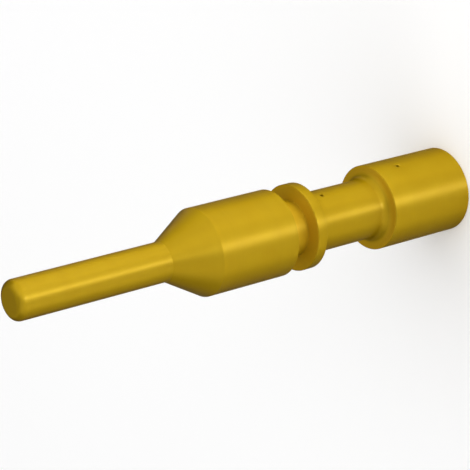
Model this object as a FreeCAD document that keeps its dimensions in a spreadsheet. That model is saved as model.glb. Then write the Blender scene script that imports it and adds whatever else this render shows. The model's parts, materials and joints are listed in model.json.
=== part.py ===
import FreeCAD, Part
import Sketcher
import os

# A crimp contact pin, turned in one piece from round bar.
# It stands on its wire end. The origin is the centre of the rear face, Z runs along the axis
# up to the mating tip, and the two inspection holes face the front, -Y.
# Lengths are in millimetres and angles in degrees.

SIZES = [
    ("pin_diameter", 3.6, "mating pin"),
    ("pin_length", 15.3, "straight mating pin, tip to cone"),
    ("tip_rounding", 0.7, "radius round the flat end of the pin"),
    ("cone_length", 3.85, "shoulder from the pin up to the body"),
    ("bar_diameter", 8.0, "body, collar and barrel, left at the size of the bar"),
    ("body_length", 8.25, "body between the cone and the groove"),
    ("groove_diameter", 5.2, "root of the retention groove"),
    ("groove_width", 2.3, "retention groove along the axis"),
    ("collar_thickness", 1.0, "collar behind the groove"),
    ("neck_diameter", 5.6, "crimp neck around the conductor"),
    ("neck_length", 8.25, "crimp neck, collar to barrel"),
    ("neck_fillet", 0.8, "hollow radius where the neck meets the barrel"),
    ("barrel_length", 9.2, "barrel around the insulation"),
    ("edge_break", 0.05, "chamfer on the outer corners"),
    ("neck_wall", 0.65, "wall of the neck around the conductor bore"),
    ("barrel_wall", 0.6, "wall of the barrel around the insulation bore"),
    ("mouth_chamfer", 0.25, "chamfer at the mouth of the insulation bore"),
    ("drill_point_angle", 118.0, "full angle of the cones at the ends of both bores"),
    ("hole_diameter", 0.35, "inspection holes"),
    ("neck_hole_setback", 2.0, "neck hole's centre behind the collar"),
    ("barrel_hole_setback", 2.65, "barrel hole's centre behind the barrel's front"),
    ("neck_bore_past_hole", 0.4, "conductor bore, beyond the centre of the neck hole"),
    ("barrel_bore_past_hole", 0.45, "insulation bore, beyond the centre of the barrel hole"),
]

# Radii, as expressions on the sheet.
PIN_RADIUS = "sizes.pin_diameter / 2"
BAR_RADIUS = "sizes.bar_diameter / 2"
GROOVE_RADIUS = "sizes.groove_diameter / 2"
NECK_RADIUS = "sizes.neck_diameter / 2"
NECK_BORE_RADIUS = f"({NECK_RADIUS} - sizes.neck_wall)"
BARREL_BORE_RADIUS = f"({BAR_RADIUS} - sizes.barrel_wall)"
HOLE_RADIUS = "sizes.hole_diameter / 2"
OUTSIDE_THE_BAR = "sizes.bar_diameter"

# Heights above the rear face, each from the one below it.
BARREL_FRONT = "sizes.barrel_length"
COLLAR_REAR = f"{BARREL_FRONT} + sizes.neck_length"
GROOVE_REAR = f"{COLLAR_REAR} + sizes.collar_thickness"
GROOVE_FRONT = f"{GROOVE_REAR} + sizes.groove_width"
CONE_REAR = f"{GROOVE_FRONT} + sizes.body_length"
PIN_REAR = f"{CONE_REAR} + sizes.cone_length"
TIP = f"{PIN_REAR} + sizes.pin_length"

# Each inspection hole breaks into its bore a little behind where the bore begins to close.
BARREL_HOLE = f"{BARREL_FRONT} - sizes.barrel_hole_setback"
NECK_HOLE = f"{COLLAR_REAR} - sizes.neck_hole_setback"
BARREL_BORE_END = f"{BARREL_HOLE} + sizes.barrel_bore_past_hole"
NECK_BORE_END = f"{NECK_HOLE} + sizes.neck_bore_past_hole"
DRILL_SLOPE = "tan(sizes.drill_point_angle * 1deg / 2)"
FUNNEL_END = f"{BARREL_BORE_END} + ({BARREL_BORE_RADIUS} - {NECK_BORE_RADIUS}) / {DRILL_SLOPE}"
DRILL_TIP = f"{NECK_BORE_END} + {NECK_BORE_RADIUS} / {DRILL_SLOPE}"

# The hollow radius stops at the chamfer of the barrel's front corner.
NECK_FILLET = f"min(sizes.neck_fillet; {BAR_RADIUS} - {NECK_RADIUS} - 2 * sizes.edge_break)"

FULL_TURN = 360.0
SAME_PLACE = 1e-4


def fill_sheet(doc):
    """Puts every driving dimension in a cell of its own, with its alias and a note."""
    sheet = doc.addObject("Spreadsheet::Sheet", "sizes")
    for row, (alias, value, note) in enumerate(SIZES, start=1):
        sheet.set(f"A{row}", alias)
        sheet.set(f"B{row}", str(value))
        sheet.setAlias(f"B{row}", alias)
        sheet.set(f"C{row}", note)
    doc.recompute()


def value_of(holder, expression):
    """The number that an expression on the sheet comes to."""
    result = holder.evalExpression(expression)
    return float(getattr(result, "Value", result))


def front_plane_sketch(body, name):
    """An empty sketch on the body's own XZ plane: X across, Z up."""
    sketch = body.newObject("Sketcher::SketchObject", name)
    plane = next(item for item in body.Origin.OriginFeatures if item.Role == "XZ_Plane")
    sketch.AttachmentSupport = (plane, "")
    sketch.MapMode = "FlatFace"
    return sketch


def constrain(sketch, *terms):
    return sketch.addConstraint(Sketcher.Constraint(*terms))


def dimension(sketch, name, expression, *terms):
    """Adds a named dimension that follows an expression on the sheet."""
    index = constrain(sketch, *terms, value_of(sketch, expression))
    sketch.renameConstraint(index, name)
    sketch.setExpression(f"Constraints.{name}", expression)


def half_section(body, name, corners):
    """Draws a closed half section from corners of (name, radius, height).

    A radius of None lies on the axis, and a height of None on the rear face.
    """
    sketch = front_plane_sketch(body, name)
    points = []
    for _, radius, height in corners:
        across = 0.0 if radius is None else value_of(sketch, radius)
        up = 0.0 if height is None else value_of(sketch, height)
        points.append(FreeCAD.Vector(across, up, 0))
    for here, there in zip(points, points[1:] + points[:1]):
        sketch.addGeometry(Part.LineSegment(here, there))
    for line, (label, radius, height) in enumerate(corners):
        constrain(sketch, "Coincident", line, 1, (line - 1) % len(corners), 2)
        if radius is None:
            constrain(sketch, "PointOnObject", line, 1, -2)
        else:
            dimension(sketch, f"{label}_radius", radius, "DistanceX", -1, 1, line, 1)
        if height is None:
            constrain(sketch, "PointOnObject", line, 1, -1)
        else:
            dimension(sketch, f"{label}_height", height, "DistanceY", -1, 1, line, 1)
    return sketch


def turn(body, kind, name, profile):
    """Adds or cuts a full turn of a half section about the axis."""
    feature = body.newObject(f"PartDesign::{kind}", name)
    feature.Profile = profile
    feature.ReferenceAxis = (profile, ["V_Axis"])
    feature.Angle = FULL_TURN
    profile.Visibility = False
    body.Document.recompute()
    return feature


def turned_blank(body):
    """The outside, as it comes off the lathe before grooving and drilling."""
    corners = [
        ("rear_centre", None, None),
        ("barrel_rear", BAR_RADIUS, None),
        ("barrel_front", BAR_RADIUS, BARREL_FRONT),
        ("neck_rear", NECK_RADIUS, BARREL_FRONT),
        ("neck_front", NECK_RADIUS, COLLAR_REAR),
        ("collar_rear", BAR_RADIUS, COLLAR_REAR),
        ("cone_rear", BAR_RADIUS, CONE_REAR),
        ("pin_rear", PIN_RADIUS, PIN_REAR),
        ("tip_edge", PIN_RADIUS, TIP),
        ("tip_centre", None, TIP),
    ]
    return turn(body, "Revolution", "turned_blank", half_section(body, "outside_section", corners))


def retention_groove(body):
    """The groove that a clip in the connector's insert snaps into."""
    corners = [
        ("root_rear", GROOVE_RADIUS, GROOVE_REAR),
        ("open_rear", OUTSIDE_THE_BAR, GROOVE_REAR),
        ("open_front", OUTSIDE_THE_BAR, GROOVE_FRONT),
        ("root_front", GROOVE_RADIUS, GROOVE_FRONT),
    ]
    return turn(body, "Groove", "retention_groove", half_section(body, "groove_section", corners))


def stepped_bore(body):
    """The wire's bore: wide for the insulation, a funnel, then the conductor's own bore."""
    corners = [
        ("mouth_centre", None, None),
        ("mouth", BARREL_BORE_RADIUS, None),
        ("barrel_bore_end", BARREL_BORE_RADIUS, BARREL_BORE_END),
        ("funnel_end", NECK_BORE_RADIUS, FUNNEL_END),
        ("neck_bore_end", NECK_BORE_RADIUS, NECK_BORE_END),
        ("drill_tip", None, DRILL_TIP),
    ]
    return turn(body, "Groove", "stepped_bore", half_section(body, "bore_section", corners))


def inspection_holes(body):
    """Two small holes in line, drilled from the front through one wall each."""
    sketch = front_plane_sketch(body, "hole_centres")
    up = FreeCAD.Vector(0, 0, 1)
    for circle, (name, height) in enumerate([("neck", NECK_HOLE), ("barrel", BARREL_HOLE)]):
        centre = FreeCAD.Vector(0, value_of(sketch, height), 0)
        sketch.addGeometry(Part.Circle(centre, up, value_of(sketch, HOLE_RADIUS)))
        constrain(sketch, "PointOnObject", circle, 3, -2)
        dimension(sketch, f"{name}_hole_height", height, "DistanceY", -1, 1, circle, 3)
        dimension(sketch, f"{name}_hole_radius", HOLE_RADIUS, "Radius", circle)
    holes = body.newObject("PartDesign::Pocket", "inspection_holes")
    holes.Profile = sketch
    holes.Type = "ThroughAll"
    holes.Reversed = True
    sketch.Visibility = False
    body.Document.recompute()
    return holes


def rings(feature, places):
    """Names of the circular edges that lie at the given pairs of radius and height."""
    found = []
    for radius, height in places:
        wanted_radius = value_of(feature, radius)
        wanted_height = 0.0 if height is None else value_of(feature, height)
        for number, edge in enumerate(feature.Shape.Edges, start=1):
            if not isinstance(edge.Curve, Part.Circle):
                continue
            away = abs(edge.Curve.Radius - wanted_radius) + abs(edge.Curve.Center.z - wanted_height)
            if away < SAME_PLACE:
                found.append(f"Edge{number}")
    if len(found) != len(places):
        raise ValueError(f"{feature.Name}: {len(found)} of {len(places)} edges found")
    return found


def dress(body, kind, name, base, places, size_name, size):
    """Rounds or chamfers the rings of a feature that lie at the given places."""
    feature = body.newObject(f"PartDesign::{kind}", name)
    feature.Base = (base, rings(base, places))
    feature.setExpression(size_name, size)
    body.Document.recompute()
    return feature


def finish_edges(body, base):
    """Tip rounding, hollow radius at the barrel, broken corners and the bore's mouth."""
    tip = dress(body, "Fillet", "tip_rounding", base, [(PIN_RADIUS, TIP)], "Radius", "sizes.tip_rounding")
    neck_corner = [(NECK_RADIUS, BARREL_FRONT)]
    neck = dress(body, "Fillet", "neck_fillet", tip, neck_corner, "Radius", NECK_FILLET)
    corners = [(BAR_RADIUS, None), (BAR_RADIUS, BARREL_FRONT), (BAR_RADIUS, GROOVE_REAR)]
    broken = dress(body, "Chamfer", "edge_break", neck, corners, "Size", "sizes.edge_break")
    mouth = [(BARREL_BORE_RADIUS, None)]
    return dress(body, "Chamfer", "mouth_chamfer", broken, mouth, "Size", "sizes.mouth_chamfer")


def make_contact_pin(doc):
    body = doc.addObject("PartDesign::Body", "contact_pin")
    body.Label = "contact_pin"
    turned_blank(body)
    retention_groove(body)
    stepped_bore(body)
    drilled = inspection_holes(body)
    body.Tip = finish_edges(body, drilled)
    body.Placement = FreeCAD.Placement()
    doc.recompute()
    return body


def check(doc, pieces):
    """Stops if any feature failed or any piece isn't one sound solid."""
    for item in doc.Objects:
        if "Invalid" in item.State or "Error" in item.State:
            raise RuntimeError(f"{item.Name} failed: {item.State}")
    for piece in pieces:
        if piece.Shape.isNull() or not piece.Shape.isValid() or len(piece.Shape.Solids) != 1:
            raise RuntimeError(f"{piece.Label} isn't one sound solid")


def main():
    doc = FreeCAD.newDocument("contact_pin_model")
    fill_sheet(doc)
    pieces = [make_contact_pin(doc)]
    check(doc, pieces)
    os.makedirs("parts", exist_ok=True)
    for piece in pieces:
        piece.Shape.exportStep(f"parts/{piece.Label}.step")
        box = piece.Shape.BoundBox
        print(f"{piece.Label}: {piece.Shape.Volume:.2f} mm3, "
              f"{box.XLength:.2f} x {box.YLength:.2f} x {box.ZLength:.2f} mm")


main()
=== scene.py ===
# %% [markdown]
# A crimp contact pin, standing on its wire end.
# Such a contact is usually turned from one brass bar and plated with gold. A connector's insert
# holds it by the groove and the collar, a wire is crimped into the neck and the barrel behind
# them, and the slim end plugs into a socket.
# The construction model is already packed, so this script only dresses it. It loads the frame
# first, because every size and place below comes from there.

# %% Load the frame
import json
import math

import bmesh
import bpy
from mathutils import Matrix, Vector


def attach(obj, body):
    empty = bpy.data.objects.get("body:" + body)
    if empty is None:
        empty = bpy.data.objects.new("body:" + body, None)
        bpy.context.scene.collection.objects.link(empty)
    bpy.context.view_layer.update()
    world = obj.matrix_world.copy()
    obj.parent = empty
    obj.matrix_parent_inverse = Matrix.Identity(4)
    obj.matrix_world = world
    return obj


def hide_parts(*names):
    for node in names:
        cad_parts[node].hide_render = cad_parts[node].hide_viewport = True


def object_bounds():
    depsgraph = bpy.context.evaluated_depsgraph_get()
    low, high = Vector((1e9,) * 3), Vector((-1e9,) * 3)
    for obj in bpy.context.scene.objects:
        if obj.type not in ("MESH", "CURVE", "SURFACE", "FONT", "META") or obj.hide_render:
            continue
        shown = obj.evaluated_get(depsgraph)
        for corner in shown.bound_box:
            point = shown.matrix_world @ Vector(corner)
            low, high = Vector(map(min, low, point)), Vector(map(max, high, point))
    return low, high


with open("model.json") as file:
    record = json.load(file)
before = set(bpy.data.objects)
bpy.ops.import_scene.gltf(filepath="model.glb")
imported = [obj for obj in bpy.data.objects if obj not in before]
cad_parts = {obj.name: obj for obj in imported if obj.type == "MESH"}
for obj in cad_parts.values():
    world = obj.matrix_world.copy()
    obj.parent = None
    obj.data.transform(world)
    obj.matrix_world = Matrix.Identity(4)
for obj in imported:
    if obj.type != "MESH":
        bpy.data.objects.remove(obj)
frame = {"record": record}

cad_low, cad_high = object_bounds()
print("construction model, mm:", [round(1000 * side, 3) for side in cad_high - cad_low])

# %% [markdown]
# The camera comes before any surface, so that every later choice can be judged from where the
# part is seen. A turned part has no corners to line a camera up with, but its edges are circles,
# and how flat each circle looks gives the tilt. The camera looks down from the left of the
# front, rolled until the pin lies across the picture. The long lens keeps both ends of the pin
# nearly the same scale.

# %% Camera
MM = 0.001
VIEW_AZIMUTH = math.radians(-50.1)
VIEW_ELEVATION = math.radians(35.063)
VIEW_ROLL = math.radians(-104.578)
VIEW_DISTANCE = 172.599 * MM
AIM_HEIGHT = 24.812 * MM
AIM_LIFT = 0.663 * MM
FOCAL_LENGTH = 149.07
NEAREST_SEEN = 1 * MM


def direction(azimuth, elevation):
    """Points away from the axis. Azimuth 0 is the front, and the right-hand side is 90 degrees."""
    across = Vector((math.sin(azimuth), -math.cos(azimuth), 0)) * math.cos(elevation)
    return across + Vector((0, 0, math.sin(elevation)))


towards_camera = direction(VIEW_AZIMUTH, VIEW_ELEVATION)
level = Vector((math.cos(VIEW_AZIMUTH), math.sin(VIEW_AZIMUTH), 0))
upright = towards_camera.cross(level)
picture_right = level * math.cos(VIEW_ROLL) + upright * math.sin(VIEW_ROLL)
picture_up = upright * math.cos(VIEW_ROLL) - level * math.sin(VIEW_ROLL)

camera_data = bpy.data.cameras.new("camera")
camera_data.lens = FOCAL_LENGTH
camera_data.clip_start = NEAREST_SEEN
camera = bpy.data.objects.new("camera", camera_data)
bpy.context.scene.collection.objects.link(camera)
turn = Matrix((picture_right, picture_up, towards_camera)).transposed()
place = Vector((0, 0, AIM_HEIGHT)) + towards_camera * VIEW_DISTANCE + picture_up * AIM_LIFT
camera.matrix_world = Matrix.Translation(place) @ turn.to_4x4()
bpy.context.scene.camera = camera
print("camera at, mm:", [round(part / MM, 1) for part in place])

# %% [markdown]
# The sizes of a turned part are a few radii and the heights where they change.
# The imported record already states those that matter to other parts, such as the mating pin and
# the two bores, so they are read from there and can't drift away from the model. What the record
# doesn't state, such as the neck, is a named value here. Everything in Blender is in metres.

# %% Sizes from the frame
mounts = {mount["name"]: mount for mount in frame["record"]["mounts"]}


def radius_of(name):
    return mounts[name]["dims"]["r_mm"] * MM


def span_of(name):
    """The lowest and highest point of a round wall that stands along the axis."""
    middle = mounts[name]["pos_m"][2]
    half = mounts[name]["dims"]["length_mm"] * MM / 2
    return middle - half, middle + half


BAR_RADIUS = radius_of("insert_bore_seat")
PIN_RADIUS = radius_of("mating_pin")
NECK_BORE_RADIUS = radius_of("conductor_bore")
BARREL_BORE_RADIUS = radius_of("insulation_bore")

TIP = cad_high.z
PIN_REAR = span_of("mating_pin")[0]
GROOVE_FRONT, CONE_REAR = span_of("insert_bore_seat")
FUNNEL_END, NECK_BORE_END = span_of("conductor_bore")
MOUTH_TOP, BARREL_BORE_END = span_of("insulation_bore")
print("tip, pin's root, cone's root, groove, mm:",
      [round(height / MM, 2) for height in (TIP, PIN_REAR, CONE_REAR, GROOVE_FRONT)])

# %% Sizes that the record doesn't state
GROOVE_RADIUS = 2.6 * MM
NECK_RADIUS = 2.8 * MM
GROOVE_REAR = 18.45 * MM
COLLAR_REAR = 17.45 * MM
BARREL_FRONT = 9.2 * MM
DRILL_TIP = 17.142 * MM
EDGE_BREAK = 0.05 * MM
TIP_ROUNDING = 0.7 * MM
NECK_FILLET = 0.8 * MM
HOLE_RADIUS = 0.175 * MM
NECK_HOLE = 15.45 * MM
BARREL_HOLE = 6.55 * MM

# %% [markdown]
# No real edge is perfectly sharp. Finishing and plating usually leave even the crispest turned
# corner with a radius of a few hundredths of a millimetre, and that sliver catches the light. So
# each corner of the outline below has its own rounding. Without them a model looks cut from paper.
# The outline runs from the tip down the outside, round the rear end and up into the bore.

# %% The outline, corner by corner
CRISP = 0.02 * MM
TOOL_NOSE = 0.04 * MM

outline = []


def corner(radius, height, rounding=0.0):
    outline.append((radius, height, rounding))


corner(0, TIP)
corner(PIN_RADIUS, TIP, TIP_ROUNDING)
corner(PIN_RADIUS, PIN_REAR, TOOL_NOSE)
corner(BAR_RADIUS, CONE_REAR, TOOL_NOSE)
corner(BAR_RADIUS, GROOVE_FRONT, CRISP)
corner(GROOVE_RADIUS, GROOVE_FRONT, TOOL_NOSE)
corner(GROOVE_RADIUS, GROOVE_REAR, TOOL_NOSE)
corner(BAR_RADIUS - EDGE_BREAK, GROOVE_REAR, CRISP)
corner(BAR_RADIUS, GROOVE_REAR - EDGE_BREAK, CRISP)
corner(BAR_RADIUS, COLLAR_REAR, CRISP)
corner(NECK_RADIUS, COLLAR_REAR, TOOL_NOSE)

# %% [markdown]
# Two tiny holes face the front. Contacts of this kind have such inspection holes, so that a worker
# can see that the wire has gone all the way in, and these are assumed to reach the bores.
# A hole in a curved wall needs small, even faces round it, or the shading dents. The wall is spun
# from the outline, so the outline gets a short ladder of extra points at each hole's height, on
# the outside and again inside the bore. Their spacing is that of the spun columns, which makes
# the faces there square.

# %% A ladder of points at each hole
COLUMNS = 256
PATCH = 4


def column_width(radius):
    return radius * 2 * math.pi / COLUMNS


def ladder(radius, height, upwards):
    """Adds the rows of a hole's patch to the outline, in the direction that the outline runs."""
    for row in range(-PATCH, PATCH + 1):
        step = row if upwards else -row
        corner(radius, height + step * column_width(radius))


ladder(NECK_RADIUS, NECK_HOLE, upwards=False)
corner(NECK_RADIUS, BARREL_FRONT, NECK_FILLET)
corner(BAR_RADIUS - EDGE_BREAK, BARREL_FRONT, CRISP)
corner(BAR_RADIUS, BARREL_FRONT - EDGE_BREAK, CRISP)
ladder(BAR_RADIUS, BARREL_HOLE, upwards=False)
corner(BAR_RADIUS, EDGE_BREAK, CRISP)
corner(BAR_RADIUS - EDGE_BREAK, 0, CRISP)
corner(BARREL_BORE_RADIUS + MOUTH_TOP, 0, CRISP)
corner(BARREL_BORE_RADIUS, MOUTH_TOP, CRISP)
ladder(BARREL_BORE_RADIUS, BARREL_HOLE, upwards=True)
corner(BARREL_BORE_RADIUS, BARREL_BORE_END)
corner(NECK_BORE_RADIUS, FUNNEL_END, TOOL_NOSE)
ladder(NECK_BORE_RADIUS, NECK_HOLE, upwards=True)
corner(NECK_BORE_RADIUS, NECK_BORE_END)
corner(0, DRILL_TIP)
print("outline:", len(outline), "corners")

# %% [markdown]
# The outline becomes a chain of vertices and edges, and bevel with affect VERTICES rounds its
# corners while it is still flat. That is simpler than bevelling thousands of edges later.
# Bevel's offset is the length that it takes off each side, so for a given radius it is that
# radius times the tangent of half the turn. A profile of 0.5 makes the rounding a circular arc.

# %% Draw the outline and round its corners
SMALL_ROUND_STEPS = 4
LARGE_ROUND_STEPS = 24
LARGE_ROUND = 0.5 * MM
CIRCULAR = 0.5

bm = bmesh.new()
points = [Vector((radius, 0, height)) for radius, height, rounding in outline]
chain = [bm.verts.new(point) for point in points]
for above, below in zip(chain, chain[1:]):
    bm.edges.new((above, below))

for index in range(1, len(outline) - 1):
    rounding = outline[index][2]
    if rounding == 0:
        continue
    bend = (points[index] - points[index - 1]).angle(points[index + 1] - points[index])
    bmesh.ops.bevel(
        bm,
        geom=[chain[index]],
        offset=rounding * math.tan(bend / 2),
        offset_type="OFFSET",
        affect="VERTICES",
        segments=LARGE_ROUND_STEPS if rounding > LARGE_ROUND else SMALL_ROUND_STEPS,
        profile=CIRCULAR,
        material=-1,
    )
print("rounded outline:", len(bm.verts), "vertices")

# %% [markdown]
# Spinning the outline once round the axis is exactly what a lathe does. use_merge closes the seam
# where the last column meets the first. The two ends of the outline lie on the axis, where every
# column has its own copy of the same point, so they are merged afterwards.

# %% Spin the outline into a solid
SAME_POINT = 0.0001 * MM

bmesh.ops.spin(
    bm,
    geom=bm.verts[:] + bm.edges[:],
    cent=(0, 0, 0),
    axis=(0, 0, 1),
    dvec=(0, 0, 0),
    angle=2 * math.pi,
    steps=COLUMNS,
    use_merge=True,
)
bmesh.ops.remove_doubles(bm, verts=bm.verts, dist=SAME_POINT)
print("spun solid:", len(bm.faces), "faces")

# %% [markdown]
# Each hole starts on the outside. The square patch of small faces is deleted, a circle is laid
# onto the curved wall in its place, and bridge_loops fills the space between the two. The circle
# is then extruded straight through the wall until it lies on the bore, where the patch is cut
# and bridged in the same way. The square and the circle have the same number of points, so all
# the new faces are quads. Last, a small bevel breaks the rim, as a drill's burr is usually taken
# off. Bevel goes by the faces' normals, so they are made to agree first.

# %% Drill the inspection holes
RIM_BREAK = 0.02 * MM
RIM_STEPS = 2
facing_front = Matrix.Rotation(math.pi / 2, 4, "X")


def lay_on_wall(verts, wall_radius):
    for vert in verts:
        vert.co.y = -math.sqrt(wall_radius**2 - vert.co.x**2)


def cut_square(wall_radius, height):
    """Deletes the small faces of a wall round a hole's centre, and returns the edges left open."""
    reach = PATCH * column_width(wall_radius)
    patch = []
    for face in bm.faces:
        middle = face.calc_center_median()
        off_wall = abs(math.hypot(middle.x, middle.y) - wall_radius)
        beside = max(abs(middle.x), abs(middle.z - height))
        if off_wall < column_width(wall_radius) / 2 and beside < reach and middle.y < 0:
            patch.append(face)
    open_before = {edge for edge in bm.edges if edge.is_boundary}
    bmesh.ops.delete(bm, geom=patch, context="FACES")
    return [edge for edge in bm.edges if edge.is_boundary and edge not in open_before]


def drill(outer_radius, inner_radius, height):
    outer_square = cut_square(outer_radius, height)
    circle = bmesh.ops.create_circle(
        bm,
        segments=len(outer_square),
        radius=HOLE_RADIUS,
        cap_ends=False,
        matrix=Matrix.Translation((0, 0, height)) @ facing_front,
    )
    lay_on_wall(circle["verts"], outer_radius)
    outer_rim = [edge for edge in bm.edges if edge.is_wire]
    bmesh.ops.bridge_loops(bm, edges=outer_square + outer_rim)

    hole_wall = bmesh.ops.extrude_edge_only(bm, edges=outer_rim)["geom"]
    lay_on_wall([part for part in hole_wall if isinstance(part, bmesh.types.BMVert)], inner_radius)
    inner_rim = [edge for edge in bm.edges if edge.is_boundary]
    bmesh.ops.bridge_loops(bm, edges=cut_square(inner_radius, height) + inner_rim)

    bmesh.ops.recalc_face_normals(bm, faces=bm.faces)
    bmesh.ops.bevel(
        bm,
        geom=outer_rim,
        offset=RIM_BREAK,
        offset_type="OFFSET",
        affect="EDGES",
        segments=RIM_STEPS,
        profile=CIRCULAR,
        material=-1,
    )
    print("hole at", round(height / MM, 2), "mm:", len(outer_square), "sides")


drill(NECK_RADIUS, NECK_BORE_RADIUS, NECK_HOLE)
drill(BAR_RADIUS, BARREL_BORE_RADIUS, BARREL_HOLE)

# %% [markdown]
# A spun shape can come out inside out, so its normals are recalculated now that it is closed.
# An edge is faulty if it doesn't join exactly two faces that point the same way. With none of
# those the shape is closed, and the volume should agree with the construction model's.
# The whole surface is shaded smooth, and the Weighted Normal modifier then lets the large faces
# decide how each corner is shaded. The flats stay flat, and all the bending of the light happens
# in the small roundings.

# %% Close, check and shade the turned pin
bmesh.ops.recalc_face_normals(bm, faces=bm.faces)
for face in bm.faces:
    face.smooth = True
faulty_edges = [edge for edge in bm.edges if not edge.is_contiguous]
print("faulty edges:", len(faulty_edges), "volume, mm3:", round(bm.calc_volume() / MM**3, 2))

turned_mesh = bpy.data.meshes.new("turned_pin")
bm.to_mesh(turned_mesh)
bm.free()
turned_pin = bpy.data.objects.new("turned_pin", turned_mesh)
bpy.context.scene.collection.objects.link(turned_pin)

even_shading = turned_pin.modifiers.new("even_shading", "WEIGHTED_NORMAL")
even_shading.mode = "FACE_AREA"
print("turned pin:", len(turned_mesh.polygons), "faces")

# %% [markdown]
# Gold over brass is a metal all through, so Metallic is 1 and the base colour is the colour of
# its reflection. The bright line in the photo is soft, so this gold is satin and not a mirror. A
# lathe's tool leaves rings round a part, and they smear every reflection along the axis, which
# Anisotropic imitates. It stretches the reflection along the tangent, so the tangent runs round
# the part and Anisotropic Rotation turns the stretch a quarter turn, across the rings.
# The rim of the part, where the metal is seen at a slant, is darker in the photo, and Specular
# Tint darkens just that. The weak Coat is a choice and not something the photo shows: the gold
# doesn't colour it, so the bright line gets a paler core.

# %% Gold plate: the shader
gold = bpy.data.materials.new("gold_plate")
gold.use_nodes = True
nodes = gold.node_tree.nodes
links = gold.node_tree.links

GOLD_EDGE = (0.06, 0.12, 0.04, 1)
STRETCH = 0.62
QUARTER_TURN = 0.25
COAT_WEIGHT = 0.06
COAT_ROUGHNESS = 0.25

metal = nodes["Principled BSDF"]
metal.inputs["Metallic"].default_value = 1.0
metal.inputs["Specular Tint"].default_value = GOLD_EDGE
metal.inputs["Anisotropic"].default_value = STRETCH
metal.inputs["Anisotropic Rotation"].default_value = QUARTER_TURN
metal.inputs["Coat Weight"].default_value = COAT_WEIGHT
metal.inputs["Coat Roughness"].default_value = COAT_ROUGHNESS


def add(kind, **settings):
    """Adds a node, and sets the properties that are named."""
    node = nodes.new(kind)
    for name, value in settings.items():
        setattr(node, name, value)
    return node


def calculate(operation, *values):
    """Adds a Math node. Each value is a number, or another node's output that is linked to it."""
    node = add("ShaderNodeMath", operation=operation)
    for socket, value in zip(node.inputs, values):
        if isinstance(value, bpy.types.NodeSocket):
            links.new(value, socket)
        else:
            socket.default_value = value
    return node.outputs["Value"]


print("gold plate starts from", metal.name)

# %% [markdown]
# The rings belong to the lathe, so their pattern must not change round the part. A pattern does
# that when it only knows the distance from the axis and the height. Both come from the Object
# coordinates, and together they make a new coordinate. The tangent is the axis crossed with the
# same Object coordinates, which points round the part everywhere.

# %% Gold plate: coordinates of a turned part
place_on_pin = add("ShaderNodeTexCoord")

off_axis = add("ShaderNodeVectorMath", operation="MULTIPLY")
off_axis.inputs[1].default_value = (1, 1, 0)
links.new(place_on_pin.outputs["Object"], off_axis.inputs[0])
distance = add("ShaderNodeVectorMath", operation="LENGTH")
links.new(off_axis.outputs["Vector"], distance.inputs[0])

height_on_pin = add("ShaderNodeSeparateXYZ")
links.new(place_on_pin.outputs["Object"], height_on_pin.inputs[0])

lathe_place = add("ShaderNodeCombineXYZ")
links.new(distance.outputs["Value"], lathe_place.inputs["X"])
links.new(height_on_pin.outputs["Z"], lathe_place.inputs["Z"])

round_the_pin = add("ShaderNodeVectorMath", operation="CROSS_PRODUCT")
round_the_pin.inputs[0].default_value = (0, 0, 1)
links.new(place_on_pin.outputs["Object"], round_the_pin.inputs[1])
even_length = add("ShaderNodeVectorMath", operation="NORMALIZE")
links.new(round_the_pin.outputs["Vector"], even_length.inputs[0])
print("coordinates:", len(nodes), "nodes")

# %% [markdown]
# The faces across the axis need masks of their own, which are 1 on the face and 0 elsewhere. A
# face is where the surface looks up the axis, and outside the slim tip it is a shoulder. On the
# tip's own face, rings would run to a single point and pinch the stretched reflection there,
# while the photo shows that face evenly lit. So its tangent is one fixed direction, as if it were
# brushed. That is a way round the pinch. How the real face is finished isn't known.

# %% Gold plate: the shoulders and the tip's face
FACE_START = 0.8
SHOULDERS_FROM = 2.2 * MM

facing_up = add("ShaderNodeSeparateXYZ")
links.new(place_on_pin.outputs["Normal"], facing_up.inputs[0])
on_face = add("ShaderNodeMapRange")
on_face.inputs["From Min"].default_value = FACE_START
links.new(facing_up.outputs["Z"], on_face.inputs["Value"])

beyond_tip = calculate("GREATER_THAN", distance.outputs["Value"], SHOULDERS_FROM)
on_shoulder = calculate("MULTIPLY", on_face.outputs["Result"], beyond_tip)
on_tip = calculate("SUBTRACT", on_face.outputs["Result"], on_shoulder)

brushed = add("ShaderNodeMix", data_type="VECTOR")
brushed.inputs["B"].default_value = (1, 0, 0)
links.new(on_tip, brushed.inputs["Factor"])
links.new(even_length.outputs["Vector"], brushed.inputs["A"])
links.new(brushed.outputs["Result"], metal.inputs["Tangent"])
print("shoulders from, mm:", SHOULDERS_FROM / MM)

# %% [markdown]
# In the photo the shoulders and the groove are brighter and warmer than these lamps make them. The
# cause isn't known, so they get a brighter gold, which is painted light: it stands in for light
# that the lamps don't bring there. This mask says where the painted light goes: all of it on the
# shoulders, and a share of it on the groove's wall. Compare is 1 where the height is within half
# the groove's width of its middle, and Less Than leaves out the rims.

# %% Gold plate: painted light on the groove and the shoulders
GROOVE_SHARE = 0.55
RIM_WIDTH = 0.1 * MM

groove_middle = (GROOVE_FRONT + GROOVE_REAR) / 2
groove_half = (GROOVE_FRONT - GROOVE_REAR) / 2

in_groove = calculate("COMPARE", height_on_pin.outputs["Z"], groove_middle, groove_half)
inside_rims = calculate("LESS_THAN", distance.outputs["Value"], BAR_RADIUS - RIM_WIDTH)
groove_wall = calculate("MULTIPLY", in_groove, inside_rims)
groove_part = calculate("MULTIPLY", groove_wall, GROOVE_SHARE)
# This mask carries painted light, a brighter gold on the shoulders and part of the groove, and it
# also makes them duller.
recess_painted_light_and_dullness = calculate("MAXIMUM", on_shoulder, groove_part)
print("groove from", round(GROOVE_REAR / MM, 2), "to", round(GROOVE_FRONT / MM, 2), "mm")

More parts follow.
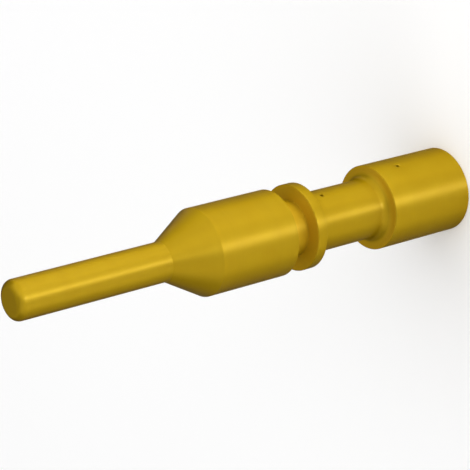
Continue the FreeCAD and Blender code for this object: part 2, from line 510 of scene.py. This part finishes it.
# %% [markdown]
# Three patterns make the finish. The photo shows a nearly even surface, so they are kept faint, and
# their sizes are guesses from how turned and plated parts usually look. Fine rings, about a tenth
# of a millimetre apart, stand for the feed of the tool. Wider bands stand for places where the
# tool paused or the bar ran a little out of true, and they change the gloss along the pin. A soft
# cloud, different all round, stands for gold that is laid on a little unevenly.

# %% Gold plate: rings, bands and cloud
RING_PITCH = 0.11 * MM
BAND_PITCH = 0.9 * MM
CLOUD_SIZE = 1.6 * MM


def pattern(name, source, size, detail):
    """A noise of a real size, in metres."""
    noise = add("ShaderNodeTexNoise", name=name)
    noise.inputs["Scale"].default_value = 1 / size
    noise.inputs["Detail"].default_value = detail
    links.new(source, noise.inputs["Vector"])
    return noise.outputs["Fac"]


rings = pattern("feed_rings", lathe_place.outputs["Vector"], RING_PITCH, detail=1)
bands = pattern("tool_bands", lathe_place.outputs["Vector"], BAND_PITCH, detail=2)
cloud = pattern("plating_cloud", place_on_pin.outputs["Object"], CLOUD_SIZE, detail=3)
print("patterns, mm:", [round(size / MM, 2) for size in (RING_PITCH, BAND_PITCH, CLOUD_SIZE)])

# %% [markdown]
# The cloud mixes two golds, a thinner, paler one and a thicker, deeper one. They differ by about a
# tenth in red and by more in green and blue, which reads as life in the surface and not as spots.
# Their brightness was fitted to the photo together with the lamps and then adjusted, so they aren't
# measured golds, and under other lamps they may look dark. The third gold is painted light on the
# shoulders and the groove, a stand-in for light that the lamps don't bring there. It is about 1.6
# times as bright as the first two, which was chosen to come near the photo there.

# %% Gold plate: colour
THIN_GOLD = (0.366, 0.240, 0.0073, 1)
THICK_GOLD = (0.333, 0.206, 0.0051, 1)
# Painted light: a brighter gold for the shoulders and the groove, standing in for light that the
# lamps don't bring there.
RECESS_PAINTED_LIGHT = (0.577, 0.358, 0.0144, 1)

gold_mix = add("ShaderNodeMix", data_type="RGBA")
gold_mix.inputs["A"].default_value = THIN_GOLD
gold_mix.inputs["B"].default_value = THICK_GOLD
links.new(cloud, gold_mix.inputs["Factor"])

# This mix lays the painted light onto the shoulders and the groove.
painted_light_mix = add("ShaderNodeMix", data_type="RGBA")
painted_light_mix.inputs["B"].default_value = RECESS_PAINTED_LIGHT
links.new(recess_painted_light_and_dullness, painted_light_mix.inputs["Factor"])
links.new(gold_mix.outputs["Result"], painted_light_mix.inputs["A"])
links.new(painted_light_mix.outputs["Result"], metal.inputs["Base Color"])
print("gold from", THIN_GOLD[:3], "to", THICK_GOLD[:3])

# %% [markdown]
# Roughness is where a machined surface shows its making. The bands shift it by a few hundredths
# along the pin, and the rings add a finer ripple. Map Range turns the mixed pattern from its own 0
# to 1 into a roughness between two limits, chosen so that the bright line is about as wide as in
# the photo. The shoulders and the groove get more, which evens out their brightness.

# %% Gold plate: gloss
SATIN = (0.40, 0.55)
RIPPLE = 0.4
RECESS_DULLNESS = 0.16

gloss_mix = add("ShaderNodeMix", data_type="FLOAT")
gloss_mix.inputs["Factor"].default_value = RIPPLE
links.new(bands, gloss_mix.inputs["A"])
links.new(rings, gloss_mix.inputs["B"])
satin = add("ShaderNodeMapRange")
satin.inputs["To Min"].default_value = SATIN[0]
satin.inputs["To Max"].default_value = SATIN[1]
links.new(gloss_mix.outputs["Result"], satin.inputs["Value"])

gloss = calculate("MULTIPLY_ADD", recess_painted_light_and_dullness, RECESS_DULLNESS, satin.outputs["Result"])
links.new(gloss, metal.inputs["Roughness"])
print("roughness from", SATIN[0], "to", SATIN[1])

# %% [markdown]
# The rings also get a height, of a few thousandths of a millimetre, and a finer grain stands for
# the plating, the same in every direction. Both heights were chosen. Two Bump nodes in a
# row stack them, and the shader gets the sum.

# %% Gold plate: relief
RING_HEIGHT = 0.0045 * MM
GRAIN_SIZE = 0.09 * MM
GRAIN_HEIGHT = 0.0020 * MM

grain = pattern("plating_grain", place_on_pin.outputs["Object"], GRAIN_SIZE, detail=2)


def relief(height_pattern, depth, below=None):
    bump = add("ShaderNodeBump")
    bump.inputs["Distance"].default_value = depth
    links.new(height_pattern, bump.inputs["Height"])
    if below:
        links.new(below, bump.inputs["Normal"])
    return bump.outputs["Normal"]


ring_relief = relief(rings, RING_HEIGHT)
links.new(relief(grain, GRAIN_HEIGHT, below=ring_relief), metal.inputs["Normal"])
turned_mesh.materials.append(gold)
print("gold plate:", len(nodes), "nodes")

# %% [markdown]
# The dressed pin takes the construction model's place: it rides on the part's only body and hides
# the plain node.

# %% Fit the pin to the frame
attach(turned_pin, "root")
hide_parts("contact_pin")

# %% [markdown]
# The floor is a wide pale disc, and a little below the pin's rear face, so that the two don't
# share a plane. Metal shows what is around it, and a pin that stands up shows mostly floor, so
# the floor's colour matters as much as the lamps. Small metal parts are often photographed on a
# table of white acrylic that lets light through from below. This floor stands for such a table,
# so it casts no shadow itself, although the pin still casts its own on it.

# %% Floor
FLOOR_RADIUS = 4.0
FLOOR_GAP = 0.01 * MM
FLOOR_SIDES = 96
WHITE_ACRYLIC = (0.98, 0.98, 0.98, 1)
MATT = 0.9

floor_bm = bmesh.new()
bmesh.ops.create_circle(
    floor_bm,
    segments=FLOOR_SIDES,
    radius=FLOOR_RADIUS,
    cap_ends=True,
    matrix=Matrix.Translation((0, 0, -FLOOR_GAP)),
)
floor_mesh = bpy.data.meshes.new("floor")
floor_bm.to_mesh(floor_mesh)
floor_bm.free()
floor = bpy.data.objects.new("floor", floor_mesh)
bpy.context.scene.collection.objects.link(floor)

acrylic = bpy.data.materials.new("white_acrylic")
acrylic.use_nodes = True
acrylic_shader = acrylic.node_tree.nodes["Principled BSDF"]
acrylic_shader.inputs["Base Color"].default_value = WHITE_ACRYLIC
acrylic_shader.inputs["Roughness"].default_value = MATT
acrylic_shader.inputs["Specular IOR Level"].default_value = 0.0
floor_mesh.materials.append(acrylic)
floor.visible_shadow = False
print("floor radius, m:", FLOOR_RADIUS)

# %% [markdown]
# A soft box is a wide, flat lamp, and the larger and nearer it is, the softer its shadow. Each
# one is given by where it hangs as seen from the middle of the pin: its azimuth from the
# camera's, its height above the horizon, its distance and its size. Its power grows with the
# square of the distance, so that a level of 1 means the same light on the pin from anywhere.
# Multiple importance sampling also looks for a lamp along the reflected rays. Those stop at the
# floor, so the lamps below it go without.

# %% One soft box
PIN_MIDDLE = Vector((0, 0, cad_high.z / 2))
WHITE = (1.0, 1.0, 1.0)


def soft_box(name, azimuth, elevation, distance, width, height, level, colour=WHITE):
    lamp = bpy.data.lights.new(name, "AREA")
    lamp.shape = "RECTANGLE"
    lamp.size = width
    lamp.size_y = height
    lamp.energy = level * (math.pi * distance) ** 2
    lamp.color = colour
    away = direction(VIEW_AZIMUTH + math.radians(azimuth), math.radians(elevation))
    box = bpy.data.objects.new(name, lamp)
    box.location = PIN_MIDDLE + away * distance
    box.rotation_euler = away.to_track_quat("Z", "Y").to_euler()
    bpy.context.scene.collection.objects.link(box)
    lamp.cycles.use_multiple_importance_sampling = elevation > 0
    print(name, "level", level)


# %% [markdown]
# The key, the fill and two smaller boxes hang above the table and light the cone and the faces
# that look up. The upright walls mirror what lies below the horizon, so they get their light
# from lamps under the table, strong on the right and weak on the left, and that shows that they
# are round. The two narrow strips draw the bright line along the pin. Gold takes nearly all the
# blue out of a reflection, so only a very blue lamp leaves that line paler than the gold round it.
# The strips are far bluer than any daylight tube, which is a choice made for the look.

# %% Place the lamps
ROOM_LIGHT = (0.54, 0.54, 0.54, 1)
STRIP_BLUE = (0.96, 1.02, 2.2)

soft_box("key", azimuth=60, elevation=40, distance=0.7, width=1.2, height=0.8, level=0.77)
soft_box("fill", azimuth=-60, elevation=38, distance=0.7, width=0.8, height=0.8, level=0.31)
soft_box("front", azimuth=0, elevation=22, distance=0.7, width=0.6, height=0.5, level=0.083)
soft_box("back", azimuth=180, elevation=45, distance=0.6, width=0.8, height=0.4, level=0.08)
soft_box("strip", azimuth=-4, elevation=-9, distance=0.6, width=0.09, height=0.18, level=0.25,
         colour=STRIP_BLUE)
soft_box("low_strip", azimuth=-5, elevation=-35, distance=0.6, width=0.14, height=0.3, level=0.104,
         colour=STRIP_BLUE)
soft_box("table_left", azimuth=-50, elevation=-16, distance=0.6, width=0.5, height=0.36, level=0.156)
soft_box("table_front", azimuth=28, elevation=-16, distance=0.6, width=0.4, height=0.36, level=0.208)
soft_box("table_side", azimuth=70, elevation=-22, distance=0.6, width=0.6, height=0.3, level=0.298)
soft_box("table_back", azimuth=120, elevation=-15, distance=0.6, width=0.6, height=0.3, level=0.206)

room = bpy.data.worlds.new("room")
room.use_nodes = True
room.node_tree.nodes["Background"].inputs["Color"].default_value = ROOM_LIGHT
bpy.context.scene.world = room

# %% [markdown]
# Standard shows each colour as it was written.

# %% Finish
bpy.context.scene.view_settings.view_transform = "Standard"
